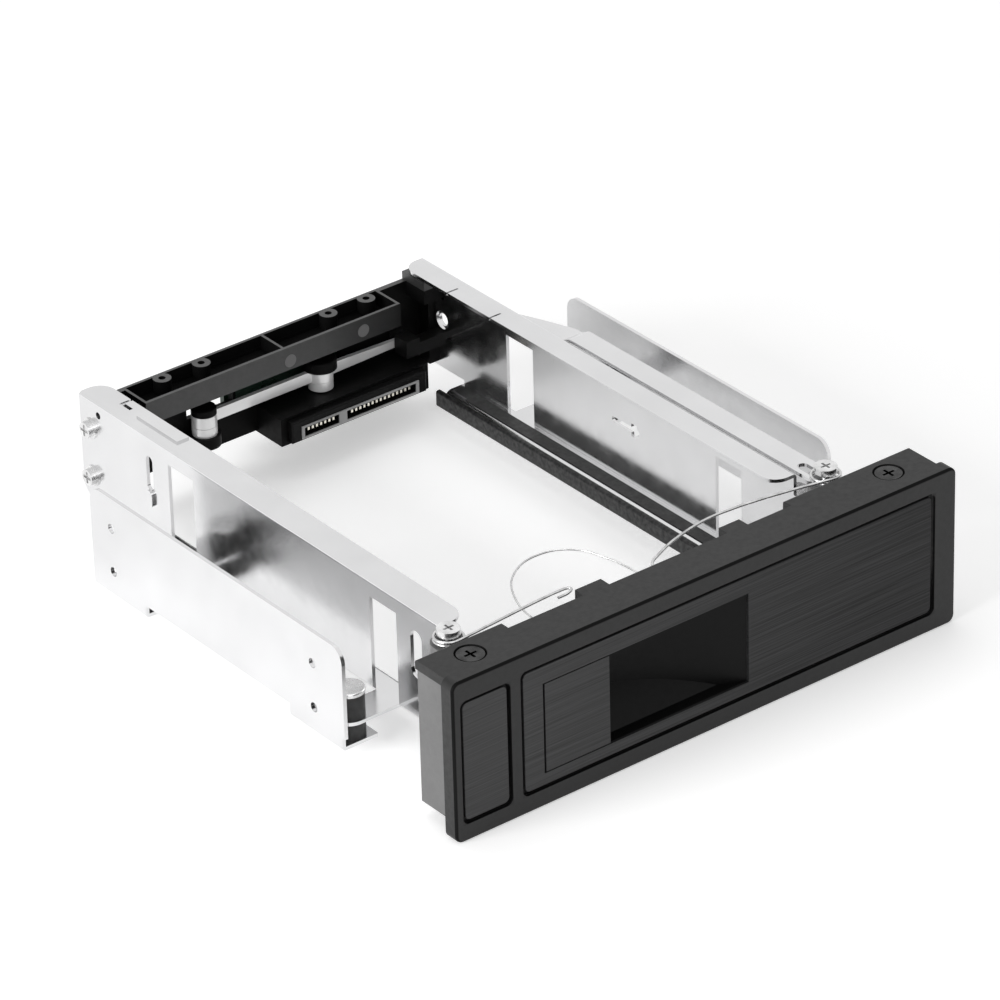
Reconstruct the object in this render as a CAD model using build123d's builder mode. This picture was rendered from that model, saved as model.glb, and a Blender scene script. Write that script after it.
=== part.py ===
from build123d import *
from math import cos, radians, sin, sqrt
import os

os.makedirs("parts", exist_ok=True)

# Lengths are in millimetres. X runs to the right of the face, Y to the rear and Z up.
# A depth is a distance behind the bezel's front face, and back() turns it into a Y value.

# Clearances
fit_gap = 0.05
running_gap = 0.1
panel_gap = 0.35
slide_gap = 0.4

# Bezel of a half-height 5.25-inch bay
bezel_width = 148.6
bezel_height = 42.0
bezel_plate = 4.1
bezel_corner = 2.0
bezel_edge = 0.7
body_width = 145.5
body_depth = 15.5
middle_depth = 12.6
middle_left = -48.6
middle_right = 34.5
body_top = 41.0
body_bottom = 3.5
top_skin = 2.4
body_inset = 0.6
bump_reach = 3.1
bumps = ((-27.0, -19.5), (15.3, 21.4))
top_screw_x = 61.7
top_screw_depth = 9.6
screw_recess_radius = 3.8
screw_recess = 1.4
screw_shank = 1.45
screw_head = 3.3
screw_head_height = 1.2

# Door opening and the fixed panel beside it
opening_left = -55.3
opening_right = 67.8
opening_bottom = 4.6
opening_top = 37.5
panel_left = -72.3
panel_right = -58.1
panel_bottom = 4.4
panel_top = 36.7
panel_recess = 1.5

# Drive bay for a 3.5-inch drive, between two sheet walls
drive_width = 101.6
connector_offset = 20.68
side_room = 0.8
sheet = 0.9
bend = 1.1
bay_center = -4.0
wall_inner = drive_width / 2 + side_room
wall_outer = wall_inner + sheet
wall_front = 27.0
wall_rear = 169.0
wall_top = 38.0
wall_bottom = 8.2
flange_width = 7.3
flange_round = 4.5
tongue_depth = 12.0
tongue_bottom = 10.5
tongue_top = 32.5
rail_width = 6.1
rail_lip = 3.6
rail_rear = 153.0
wall_rear_low = 10.0
wall_rear_round = 4.0

# Windows in the walls: depth of the front edge, depth of the rear edge, height of the top
left_windows = ((44.0, 54.0, 33.4), (122.6, 132.7, 33.5))
right_windows = ((46.0, 55.4, 30.7), (125.0, 135.5, 30.2))
tab_width = 8.6

# Outer mounting brackets
bracket_outer = 73.0
bracket_sheet = 1.0
bracket_front = 43.0
bracket_rear = 142.0
bracket_top = 30.3
bracket_raise = 3.6
bracket_corner = 4.0
foot_bottom = 2.9
foot_inner = 62.7
foot_depths = ((44.0, 64.0), (121.0, 142.0))
side_hole_front = 54.4
side_hole_spacing = 79.25
side_hole_low = 10.0
side_hole_step = 11.84
side_hole_radius = 1.25

# Rubber mounts between the tabs and the feet
post_x = 67.5
post_radius = 3.7
post_neck = 2.4
post_bore = 1.35
post_top = 15.3
disc_radius = 3.9
disc_height = 1.0
mount_shank = 1.25

# Rear housing
housing_front = 167.0
housing_wall = 1.5
housing_top = 34.8
housing_low = 9.6
beam_front = 165.2
beam_bottom = 30.9
beam_left = -44.5
beam_right = 32.6
beam_rim = 0.7
beam_floor = 1.0
boss_radius = 2.3
boss_hole = 0.9
boss_depth = 166.2
boss_xs = (-34.1, -22.4, 16.2, 27.9)
divider_x = -3.0
ear_top = 36.9
ear_width = 6.6
ear_front = 159.6
cheek_front = 163.0
cheek_width = 3.0
cheek_low = 11.5
wall_screw_depth = 165.0
wall_screw_heights = (16.5, 29.6)
wall_screw_shank = 1.4
wall_screw_head = 2.7
slot_left = -27.0
slot_right = -13.0
slot_low = 20.2
slot_high = 22.9
recess_right = 20.0
recess_low = 16.6

# Backplane board and its sockets
board_gap = 1.0
board_thickness = 1.6
board_left = -14.0
board_right = 43.0
board_bottom = 8.0
board_top = 28.0
socket_length = 6.4
socket_height = 5.6
socket_wall = 1.0
socket_low = 11.0
data_socket_x = 3.0
data_socket_width = 14.4
power_socket_x = 27.5
power_socket_width = 24.4

# Receptacle that the drive plugs onto
receptacle_front = 155.0
receptacle_width = 41.5
receptacle_low = 9.8
receptacle_height = 5.8
receptacle_pocket = 6.5
receptacle_rim = 0.9
signal_width = 10.6
power_width = 21.5
key_gap = 2.4
contact_pitch = 1.27
contact_width = 0.7
contact_height = 0.5
cradle_margin = 2.0
cradle_front = 157.0
cradle_low = 9.0
cradle_top = 16.5

# Door on its upright hinge
hinge_x = 65.6
hinge_depth = 2.15
hinge_pin_radius = 0.6
hinge_barrel = 1.1
hinge_relief = 0.6
hinge_lip = 0.9
hinge_clearance = 0.08
hinge_bite = 2.0
face_sheet = 0.8
face_inset = 0.2
door_plate = 2.2
door_gap = 0.3
door_gap_right = 1.0
spring_gap_low = 13.8
spring_gap_high = 23.8
eject_travel = 8.0
crank_pin_radius = 0.8
crank_low = 33.6
crank_web = 1.8
crank_margin = 1.4

# Finger pocket and latch paddle
pocket_left = -48.9
pocket_right = 11.1
pocket_bottom = 8.5
pocket_top = 32.2
pocket_depth = 11.3
pocket_turn = -20.0
pocket_middle = (-4.0, 7.3)
pocket_skin = 1.0
pocket_rise = 7.3
pocket_slope_start = 4.0
paddle_right = -29.5
paddle_sheet = 1.6
paddle_gap = 0.3
paddle_gap_left = 0.55
latch_inset = 3.3
latch_depth = 2.1
latch_pin_radius = 0.6
latch_barrel = 1.1
latch_bite = 1.6
hook_low = 18.0
hook_high = 22.5
hook_front = 6.2
hook_rear = 8.2
hook_clearance = 0.3
strike_sheet = 0.7

# Eject strip and the shoulder screws with their springs
strip_left = 48.9
strip_right = 55.1
strip_top = 38.2
strip_sheet = 0.9
head_top = 36.8
arm_top = 36.7
front_step_start = 12.0
front_step_end = 14.0
rear_step_start = 112.0
rear_step_end = 115.0
strip_rear = 136.0
screw_x = 55.6
screw_depth = 20.2
shoulder_radius = 1.25
screw_cap_radius = 2.8
screw_cap_height = 1.5
coil_radius = 3.45
coil_wire = 0.35
coil_pitch = 0.8
coil_turns = 1.77
lug_radius = 4.3
lug_thickness = 4.0
wire_end_x = -6.3
wire_bite = 2.0
loop_wire = 0.2
loop_left_x = -39.0
loop_right_x = -8.6

# Slider plate behind, and the lever under it
slider_left = 27.5
slider_front = 133.0
slider_rear = 168.0
slider_sheet = 1.2
pivot_x = -24.0
pivot_depth = 163.9
bumper_x = 11.4
tip_x = 36.5
tip_depth = 164.9
ring_radius = 3.2
bumper_radius = 4.25
lever_bottom = 19.3
lever_height = 3.0
lever_sheet = 1.2
lever_tip_height = 1.6
pivot_radius = 1.2
cap_height = 1.8
lower_ring_height = 2.3
prong = 1.0
prong_gap = 0.3
prong_width = 4.0
prong_low = 18.2

overall_depth = housing_front + housing_wall + board_gap + board_thickness + socket_length
front_y = -overall_depth / 2


def back(depth):
    """Y of a plane that lies this far behind the bezel's front face."""
    return front_y + depth


def across(depth):
    """Upright plane parallel to the bezel; a negative extrusion goes rearwards."""
    return Plane.XZ.offset(-back(depth))


def block(x0, x1, depth0, depth1, z0, z1, mode=Mode.ADD):
    """Straight block between six faces, the middle two given as depths."""
    with Locations(((x0 + x1) / 2, back((depth0 + depth1) / 2), (z0 + z1) / 2)):
        Box(x1 - x0, depth1 - depth0, z1 - z0, mode=mode)


def post(x, depth, z0, z1, radius, mode=Mode.ADD):
    """Upright round post or hole."""
    with Locations((x, back(depth), z0)):
        Cylinder(radius, z1 - z0, align=(Align.CENTER, Align.CENTER, Align.MIN), mode=mode)


def write(builder, name):
    """Label one finished piece and write it to its own file."""
    builder.part.label = name
    export_step(builder.part, "parts/" + name + ".step")


# Bezel cover: front plate, top skin and two small bumps at its rear edge
skin_bottom = body_top - top_skin
wire_height = strip_top + fit_gap + coil_wire + coil_turns * coil_pitch

with BuildPart() as bezel_cover:
    with BuildSketch(across(0)):
        with Locations((0, bezel_height / 2)):
            RectangleRounded(bezel_width, bezel_height, bezel_corner)
    extrude(amount=-bezel_plate)
    fillet(bezel_cover.faces().sort_by(Axis.Y)[0].edges(), bezel_edge)
    block(-body_width / 2, body_width / 2, bezel_plate, body_depth, skin_bottom, body_top)
    long_edges = bezel_cover.faces().sort_by(Axis.Y)[-1].edges().filter_by(Axis.X)
    fillet(long_edges.sort_by(Axis.Z)[-1], bezel_edge)
    block(middle_left, middle_right, middle_depth, body_depth, skin_bottom, body_top,
          Mode.SUBTRACT)
    for bump_left, bump_right in bumps:
        block(bump_left, bump_right, middle_depth, middle_depth + bump_reach,
              skin_bottom, body_top)
    block(opening_left, opening_right, 0, bezel_plate, opening_bottom, opening_top,
          Mode.SUBTRACT)
    block(panel_left, panel_right, 0, panel_recess, panel_bottom, panel_top, Mode.SUBTRACT)
    with Locations(*[(side * top_screw_x, back(top_screw_depth), body_top) for side in (-1, 1)]):
        CounterBoreHole(screw_shank + running_gap, screw_recess_radius, screw_recess,
                        depth=top_skin)
    post(hinge_x, hinge_depth, opening_bottom - hinge_bite, opening_top + hinge_bite,
         hinge_pin_radius + fit_gap, Mode.SUBTRACT)
    block(opening_right - 1.0, opening_right + hinge_relief, hinge_lip, bezel_plate,
          opening_bottom, opening_top, Mode.SUBTRACT)
    with Locations(Location((wire_end_x, back(middle_depth), wire_height), (90, 0, 0))):
        Cylinder(coil_wire + running_gap, 2 * wire_bite, mode=Mode.SUBTRACT)
write(bezel_cover, "bezel_cover")


# Bezel body: open frame behind the cover, with the lugs for the two shoulder screws
body_side = body_width / 2 - body_inset
body_roof = skin_bottom - fit_gap
left_cavity = (-body_side + 1.6, panel_right + 0.4)
rib_left = bay_center - wall_outer - running_gap
rib_right = bay_center + wall_outer + running_gap
roof_cut = (strip_left - 1.0, top_screw_x - 2.2)
left_lug_top = strip_top
right_lug_top = strip_top - strip_sheet - running_gap
screw_xs = (bay_center - screw_x, bay_center + screw_x)
loop_height = (opening_top + body_roof) / 2

with BuildPart() as bezel_body:
    block(-body_side, body_side, bezel_plate, body_depth, body_bottom, body_roof)
    block(middle_left, middle_right, middle_depth, body_depth, body_bottom, body_roof,
          Mode.SUBTRACT)
    block(opening_left, opening_right, bezel_plate, body_depth, opening_bottom, opening_top,
          Mode.SUBTRACT)
    block(left_cavity[0], left_cavity[1], bezel_plate + 1.6, body_depth,
          body_bottom + 1.6, body_roof - 1.6, Mode.SUBTRACT)
    block(roof_cut[0], roof_cut[1], bezel_plate, body_depth, opening_top, body_roof,
          Mode.SUBTRACT)
    block(rib_left, opening_left, tongue_depth - running_gap, body_depth, opening_bottom,
          opening_top, Mode.SUBTRACT)
    block(rib_right, rib_right + 1.6, tongue_depth - 1.0, body_depth, body_bottom,
          tongue_top)
    # Left boss under the top screw, and the two lugs
    post(-top_screw_x, top_screw_depth, body_roof - 12.0, body_roof, screw_shank + 1.6)
    for screw_side, lug_top in zip(screw_xs, (left_lug_top, right_lug_top)):
        lug_edge = body_depth - 0.4
        post(screw_side, screw_depth, lug_top - lug_thickness, lug_top, lug_radius)
        block(screw_side - lug_radius, screw_side + lug_radius, lug_edge, screw_depth,
              lug_top - lug_thickness, lug_top)
    block(rib_left - 1.0, rib_left, lug_edge - 3.0, lug_edge + 1.0,
          left_lug_top - lug_thickness, opening_top)
    block(strip_right + 0.5, opening_right, lug_edge - 2.0, body_depth,
          right_lug_top - lug_thickness, right_lug_top - 1.4)
    # Holes for the screws, the hook and the wire ends
    for side in (-1, 1):
        post(side * top_screw_x, top_screw_depth, body_roof - 10.0, body_roof,
             screw_shank + fit_gap, Mode.SUBTRACT)
    for screw_side, lug_top in zip(screw_xs, (left_lug_top, right_lug_top)):
        post(screw_side, screw_depth, lug_top - lug_thickness, lug_top,
             shoulder_radius + fit_gap, Mode.SUBTRACT)
    block(rib_left - 1.2, opening_left, hook_front - strike_sheet - fit_gap, hook_rear + 2.0,
          hook_low - 2.0, hook_high + 2.0, Mode.SUBTRACT)
    for end_x in (loop_left_x, loop_right_x):
        with Locations(Location((end_x, back(middle_depth), loop_height), (90, 0, 0))):
            Cylinder(loop_wire + running_gap, 2 * wire_bite, mode=Mode.SUBTRACT)
write(bezel_body, "bezel_body")


# Fixed brushed panel in the bezel's left end
with BuildPart() as side_panel:
    with BuildSketch(across(face_inset / 2)):
        with Locations(((panel_left + panel_right) / 2, (panel_bottom + panel_top) / 2)):
            RectangleRounded(panel_right - panel_left - 2 * panel_gap,
                             panel_top - panel_bottom - 2 * panel_gap, 0.6)
    extrude(amount=-(panel_recess - face_inset / 2))
    chamfer(side_panel.faces().sort_by(Axis.Y)[0].edges(), 0.2)
write(side_panel, "side_panel")


# Top screws of the bezel, with cross recesses
with BuildPart() as bezel_screws:
    for side in (-1, 1):
        seat = body_top - screw_recess
        head = side * top_screw_x
        tip = body_roof - 8.0 if side < 0 else opening_top - panel_gap
        post(head, top_screw_depth, tip, seat, screw_shank)
        post(head, top_screw_depth, seat, seat + screw_head_height, screw_head)
        block(head - 1.7, head + 1.7, top_screw_depth - 0.35, top_screw_depth + 0.35,
              seat + 0.3, seat + screw_head_height, Mode.SUBTRACT)
        block(head - 0.35, head + 0.35, top_screw_depth - 1.7, top_screw_depth + 1.7,
              seat + 0.3, seat + screw_head_height, Mode.SUBTRACT)
write(bezel_screws, "bezel_screws")


# Sheet walls of the bay
rail_inner = wall_outer - rail_width
flange_inner = wall_outer - flange_width


def tab_depths(windows):
    """Depths of the rubber mounts that stand in line with a wall's windows."""
    return [front + tab_width / 2 for front, rear, top in windows]


def side_wall(side, windows):
    """Sheet wall with flange, rail, windows and tabs; side is -1 at the left, 1 at the right."""
    web = bay_center + side * wall_outer
    web_inner = bay_center + side * wall_inner
    with BuildPart() as wall:
        with BuildSketch(across(tongue_depth)):
            with BuildLine():
                FilletPolyline(
                    (bay_center + side * rail_inner, wall_bottom - rail_lip),
                    (bay_center + side * rail_inner, wall_bottom),
                    (web, wall_bottom),
                    (web, wall_top),
                    (bay_center + side * flange_inner, wall_top),
                    radius=bend,
                )
                offset(amount=sheet, side=Side.LEFT if side > 0 else Side.RIGHT)
            make_face()
        extrude(amount=-(wall_rear - tongue_depth))
        low_x, high_x = sorted((bay_center + side * (rail_inner - 3), web + side))
        block(low_x, high_x, tongue_depth, wall_front, tongue_top, wall_top, Mode.SUBTRACT)
        low_x, high_x = sorted((bay_center + side * (flange_inner - 3), web + side))
        block(low_x, high_x, tongue_depth, wall_front, wall_bottom - rail_lip, tongue_bottom,
              Mode.SUBTRACT)
        block(low_x, high_x, rail_rear, wall_rear, wall_bottom - rail_lip, wall_rear_low,
              Mode.SUBTRACT)
        # Rounded ends of the flange and of the rear lower corner
        flange_ends = wall.edges().filter_by(Axis.Z).group_by(Axis.Z)[-1]
        inner_ends = flange_ends.sort_by(Axis.X)[:2] if side > 0 else flange_ends.sort_by(Axis.X)[-2:]
        fillet(inner_ends, flange_round)
        rear_low = wall.faces().sort_by(Axis.Y)[-1].edges().filter_by(Axis.X).sort_by(Axis.Z)[0]
        fillet(rear_low, wall_rear_round)
        # Windows, whose sheet is bent out to make the tabs
        for front, rear, top in windows:
            low_x, high_x = sorted((web_inner - side, web + side))
            block(low_x, high_x, front, rear, wall_bottom + sheet, top, Mode.SUBTRACT)
        for depth in tab_depths(windows):
            with BuildSketch(Plane.XY.offset(wall_bottom)):
                with Locations((side * post_x, back(depth))):
                    Circle(tab_width / 2)
                with Locations(((side * post_x + web - side * 2) / 2, back(depth))):
                    Rectangle(abs(side * post_x - web + side * 2), tab_width)
                with Locations((side * post_x, back(depth))):
                    Circle(post_neck + fit_gap, mode=Mode.SUBTRACT)
            extrude(amount=sheet)
        # Holes for the two rear screws
        for height in wall_screw_heights:
            with Locations(Location((web, back(wall_screw_depth), height), (0, 90, 0))):
                Cylinder(wall_screw_shank + fit_gap, 4 * sheet, mode=Mode.SUBTRACT)
    return wall


left_side_wall = side_wall(-1, left_windows)
left_web = bay_center - wall_outer
left_flange = bay_center - flange_inner
with BuildPart() as left_lances:
    # Oval hole, tall slot, front slot, and the openings in the flange
    with BuildSketch(Plane.YZ.offset(left_web - sheet)):
        with Locations((back(161.2), 34.6)):
            Circle(0.9)
        with Locations((back(140.5), 27.7)):
            SlotOverall(9.4, 2.6, rotation=90)
        with Locations((back(36.7), 25.7)):
            SlotOverall(12.6, 4.2, rotation=90)
    extrude(amount=3 * sheet)
    block(left_web + 4.0, left_web + 5.0, 153.5, 157.5, wall_top - 2 * sheet, wall_top + sheet)
    block(left_flange - 3.6, left_flange + sheet, 156.9, 157.7, wall_top - 2 * sheet,
          wall_top + sheet)
with BuildPart() as left_wall:
    add(left_side_wall.part)
    add(left_lances.part, mode=Mode.SUBTRACT)
    # Raised tab on the flange, and the bulge under the tall slot
    block(left_web + 3.2, left_flange - 0.6, 133.0, 149.5, wall_top, wall_top + 0.5)
    with BuildSketch(Plane.YZ.offset(left_web - 0.7)):
        with Locations((back(140.5), 21.0)):
            SlotOverall(4.6, 2.6, rotation=90)
    extrude(amount=0.7)
write(left_wall, "left_side_wall")

right_side_wall = side_wall(1, right_windows)
right_web = bay_center + wall_outer
right_flange = bay_center + flange_inner
arm_slot_front = 110.0
with BuildPart() as right_wall:
    add(right_side_wall.part)
    # Keyhole-like slot, sight hole, and the slot that the eject strip passes through
    with BuildSketch(Plane.YZ.offset(right_web - 2 * sheet)):
        with Locations((back(89.2), 24.2)):
            SlotOverall(10.4, 1.6)
        with Locations((back(86.0), 24.2)):
            Rectangle(2.0, 3.5)
        with Locations((back(160.8), 24.0)):
            Circle(1.7)
        with Locations((back((arm_slot_front + strip_rear + slide_gap) / 2),
                        arm_top - strip_sheet / 2)):
            Rectangle(strip_rear + slide_gap - arm_slot_front, strip_sheet + 2 * panel_gap)
    extrude(amount=3 * sheet, mode=Mode.SUBTRACT)
    for slit in (133.5, 150.5):
        block(right_flange - sheet, right_flange + 3.4, slit - 0.25, slit + 0.25,
              wall_top - 2 * sheet, wall_top + sheet, Mode.SUBTRACT)
write(right_wall, "right_side_wall")


# Outer brackets with the bay's side holes
def mount_bracket(side, windows):
    """Outer plate with two feet turned inwards; side is -1 at the left, 1 at the right."""
    outer = side * bracket_outer
    with BuildPart() as bracket:
        with BuildSketch(across(bracket_front)):
            with BuildLine():
                FilletPolyline(
                    (side * foot_inner, foot_bottom),
                    (outer, foot_bottom),
                    (outer, bracket_top),
                    radius=bend,
                )
                offset(amount=bracket_sheet, side=Side.LEFT if side > 0 else Side.RIGHT)
            make_face()
        extrude(amount=-(bracket_rear - bracket_front))
        low_x, high_x = sorted((side * (foot_inner - 1), outer + side))
        raised = foot_bottom + bracket_raise
        gaps = ((bracket_front, foot_depths[0][0]), (foot_depths[0][1], foot_depths[1][0]))
        for gap_front, gap_rear in gaps:
            block(low_x, high_x, gap_front, gap_rear, foot_bottom, raised, Mode.SUBTRACT)
        top_corners = bracket.edges().filter_by(Axis.X).group_by(Axis.Z)[-1]
        fillet(top_corners, bracket_corner)
        for depth in tab_depths(windows):
            post(side * post_x, depth, foot_bottom, foot_bottom + bracket_sheet,
                 mount_shank + fit_gap, Mode.SUBTRACT)
        for depth in (side_hole_front, side_hole_front + side_hole_spacing):
            for height in (side_hole_low, side_hole_low + side_hole_step):
                with Locations(Location((outer, back(depth), height), (0, 90, 0))):
                    Cylinder(side_hole_radius, 4 * bracket_sheet, mode=Mode.SUBTRACT)
    return bracket


left_mount_bracket = mount_bracket(-1, left_windows)
right_mount_bracket = mount_bracket(1, right_windows)
write(left_mount_bracket, "left_mount_bracket")
write(right_mount_bracket, "right_mount_bracket")


# Rubber mounts and their screws
mount_places = [(side * post_x, depth)
                for side, windows in ((-1, left_windows), (1, right_windows))
                for depth in tab_depths(windows)]
foot_top = foot_bottom + bracket_sheet

with BuildPart() as grommets:
    for x, depth in mount_places:
        post(x, depth, foot_top, post_top, post_radius)
        with Locations((x, back(depth), wall_bottom + sheet / 2)):
            Cylinder(post_radius, sheet, mode=Mode.SUBTRACT)
            Cylinder(post_neck, sheet)
        post(x, depth, foot_top, post_top, post_bore, Mode.SUBTRACT)
write(grommets, "grommets")

with BuildPart() as grommet_screws:
    for x, depth in mount_places:
        post(x, depth, foot_bottom, post_top, mount_shank)
        post(x, depth, post_top, post_top + disc_height, disc_radius)
    fillet(grommet_screws.faces().group_by(Axis.Z)[-1].edges(), disc_height / 3)
write(grommet_screws, "grommet_screws")


# Rear housing: moulded wall with beam, bosses, ears, cheeks and the connector's cradle
left_inner = bay_center - wall_inner
right_inner = bay_center + wall_inner
housing_rear = housing_front + housing_wall
board_front = housing_rear + board_gap
board_rear = board_front + board_thickness
receptacle_x = bay_center + connector_offset
receptacle_left = receptacle_x - receptacle_width / 2
receptacle_right = receptacle_x + receptacle_width / 2
receptacle_top = receptacle_low + receptacle_height
board_screw_places = ((board_left + 4.0, board_top - 3.5), (board_right - 4.0, board_top - 3.5))
board_screw_radius = 1.3
shelf_top = lever_bottom - lower_ring_height - 2 * running_gap
lever_top = lever_bottom + lever_height

with BuildPart() as rear_housing:
    block(left_inner + fit_gap, right_inner - fit_gap, housing_front, housing_rear,
          housing_low, housing_top)
    block(beam_left, beam_right, beam_front, housing_front, beam_bottom, housing_top)
    for x in boss_xs:
        post(x, boss_depth, beam_bottom, housing_top, boss_radius)
    block(beam_left + beam_rim, beam_right - beam_rim, beam_front + beam_rim,
          housing_front + beam_rim, beam_bottom + beam_floor, housing_top, Mode.SUBTRACT)
    for x in boss_xs:
        post(x, boss_depth, beam_bottom, housing_top, boss_radius)
        post(x, boss_depth, beam_bottom, housing_top, boss_hole, Mode.SUBTRACT)
    block(divider_x - beam_rim / 2, divider_x + beam_rim / 2, beam_front, housing_rear,
          beam_bottom, housing_top)
    for inner, side in ((left_inner + fit_gap, 1), (right_inner - fit_gap, -1)):
        ear_low, ear_high = sorted((inner, inner + side * ear_width))
        block(ear_low, ear_high, ear_front, housing_rear, beam_bottom, ear_top)
        block(ear_low + 1.2, ear_high - 1.2, ear_front + 1.2, housing_rear - 1.2,
              housing_top, ear_top, Mode.SUBTRACT)
        cheek_x = sorted((inner, inner + side * cheek_width))
        block(cheek_x[0], cheek_x[1], cheek_front, housing_front, cheek_low, beam_bottom)
        for height in wall_screw_heights:
            with Locations(Location((inner, back(wall_screw_depth), height), (0, 90, 0))):
                Cylinder(wall_screw_shank + fit_gap, 2 * cheek_width - 0.6, mode=Mode.SUBTRACT)
    # Shelf that carries the lever's pivot
    block(pivot_x - 4.0, pivot_x + 4.0, pivot_depth, housing_front, shelf_top - 3.0, shelf_top)
    post(pivot_x, pivot_depth, shelf_top - 3.0, shelf_top, 4.0)
    post(pivot_x, pivot_depth, shelf_top - 2.5, shelf_top, pivot_radius + fit_gap, Mode.SUBTRACT)
    # Cradle round the receptacle
    block(receptacle_left - cradle_margin, receptacle_right + cradle_margin, cradle_front,
          housing_rear, cradle_low, cradle_top)
    block(receptacle_left - fit_gap, receptacle_right + fit_gap, cradle_front, housing_rear,
          receptacle_low - fit_gap, receptacle_top + fit_gap, Mode.SUBTRACT)
    # Long slot at the left, and the window behind the lever
    block(slot_left, slot_right, housing_front, housing_rear, slot_low, slot_high,
          Mode.SUBTRACT)
    block(slot_right + 0.8, recess_right, housing_front, housing_rear, cradle_top + 0.8,
          slot_high, Mode.SUBTRACT)
    # Room behind the lever's rings and bumper
    post(pivot_x, pivot_depth, shelf_top, lever_top + 2 * cap_height, ring_radius + panel_gap,
         Mode.SUBTRACT)
    post(bumper_x, pivot_depth, cradle_top + 0.2, lever_top + 2 * cap_height,
         bumper_radius + panel_gap, Mode.SUBTRACT)
    # Standoffs for the board
    for x, height in board_screw_places:
        with Locations(Location((x, back(housing_rear + board_gap / 2), height), (90, 0, 0))):
            Cylinder(2.4, board_gap)
        with Locations(Location((x, back(board_front), height), (90, 0, 0))):
            Cylinder(board_screw_radius + fit_gap, 2 * (board_gap + 1.1), mode=Mode.SUBTRACT)
write(rear_housing, "rear_housing")


# Pan head screws through the walls into the housing's cheeks
def side_screw(x, depth, height, side, radius, head_radius, head_height, length):
    """Screw along X with its head outside; side is the direction the head faces."""
    with Locations(Location((x - side * length / 2, back(depth), height), (0, 90, 0))):
        Cylinder(radius, length)
    with Locations(Location((x + side * head_height / 2, back(depth), height), (0, 90, 0))):
        Cylinder(head_radius, head_height)


with BuildPart() as housing_screws:
    for side in (-1, 1):
        for height in wall_screw_heights:
            side_screw(bay_center + side * wall_outer, wall_screw_depth, height, side,
                       wall_screw_shank, wall_screw_head, 1.9, 3.2)
    outer_rims = (housing_screws.edges().filter_by(GeomType.CIRCLE).group_by(Axis.X))
    fillet(outer_rims[0] + outer_rims[-1], 0.7)
write(housing_screws, "housing_screws")


# Board behind the housing, its screws and its two rear sockets
with BuildPart() as backplane_board:
    block(board_left, board_right, board_front, board_rear, board_bottom, board_top)
    fillet(backplane_board.edges().filter_by(Axis.Y), 1.0)
    for x, height in board_screw_places:
        with Locations(Location((x, back(board_front), height), (90, 0, 0))):
            Cylinder(board_screw_radius + fit_gap, 4 * board_thickness, mode=Mode.SUBTRACT)
write(backplane_board, "backplane_board")

with BuildPart() as board_screws:
    for x, height in board_screw_places:
        with Locations(Location((x, back(board_rear - 1.75), height), (90, 0, 0))):
            Cylinder(board_screw_radius, 3.5)
        with Locations(Location((x, back(board_rear + 0.8), height), (90, 0, 0))):
            Cylinder(2.5, 1.6)
write(board_screws, "board_screws")


def rear_socket(center_x, width):
    """Shrouded socket on the board's rear face, with the tongue that carries its contacts."""
    half = width / 2
    top = socket_low + socket_height
    rear = board_rear + socket_length
    with BuildPart() as socket:
        block(center_x - half, center_x + half, board_rear, rear, socket_low, top)
        block(center_x - half + socket_wall, center_x + half - socket_wall,
              board_rear + 1.2, rear, socket_low + socket_wall, top - socket_wall,
              Mode.SUBTRACT)
        block(center_x - half + 2.2, center_x + half - 2.2, board_rear + 1.2, rear - 0.8,
              socket_low + socket_height / 2 - 0.6, socket_low + socket_height / 2 + 0.6)
    return socket


data_socket = rear_socket(data_socket_x, data_socket_width)
power_socket = rear_socket(power_socket_x, power_socket_width)
write(data_socket, "data_socket")
write(power_socket, "power_socket")


# Receptacle for the drive: signal pocket at the left, power pocket at the right
pockets_width = signal_width + key_gap + power_width
signal_left = receptacle_x - pockets_width / 2
power_left = signal_left + signal_width + key_gap
pocket_low = receptacle_low + receptacle_rim
pocket_high = receptacle_top - receptacle_rim

with BuildPart() as drive_receptacle:
    block(receptacle_left, receptacle_right, receptacle_front, board_front,
          receptacle_low, receptacle_top)
    for left, width in ((signal_left, signal_width), (power_left, power_width)):
        block(left, left + width, receptacle_front, receptacle_front + receptacle_pocket,
              pocket_low, pocket_high, Mode.SUBTRACT)
    chamfer(drive_receptacle.faces().sort_by(Axis.Y)[0].outer_wire().edges(), 0.4)
write(drive_receptacle, "drive_receptacle")

with BuildPart() as receptacle_contacts:
    for left, width, count in ((signal_left, signal_width, 7), (power_left, power_width, 15)):
        for index in range(count):
            x = left + width / 2 + (index - (count - 1) / 2) * contact_pitch
            block(x - contact_width / 2, x + contact_width / 2, receptacle_front + 0.6,
                  receptacle_front + receptacle_pocket, pocket_high - contact_height,
                  pocket_high)
write(receptacle_contacts, "receptacle_contacts")


# Eject lever: two rings joined by an upright bar, and a tapered blade at the right
half_bar = lever_sheet / 2

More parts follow.
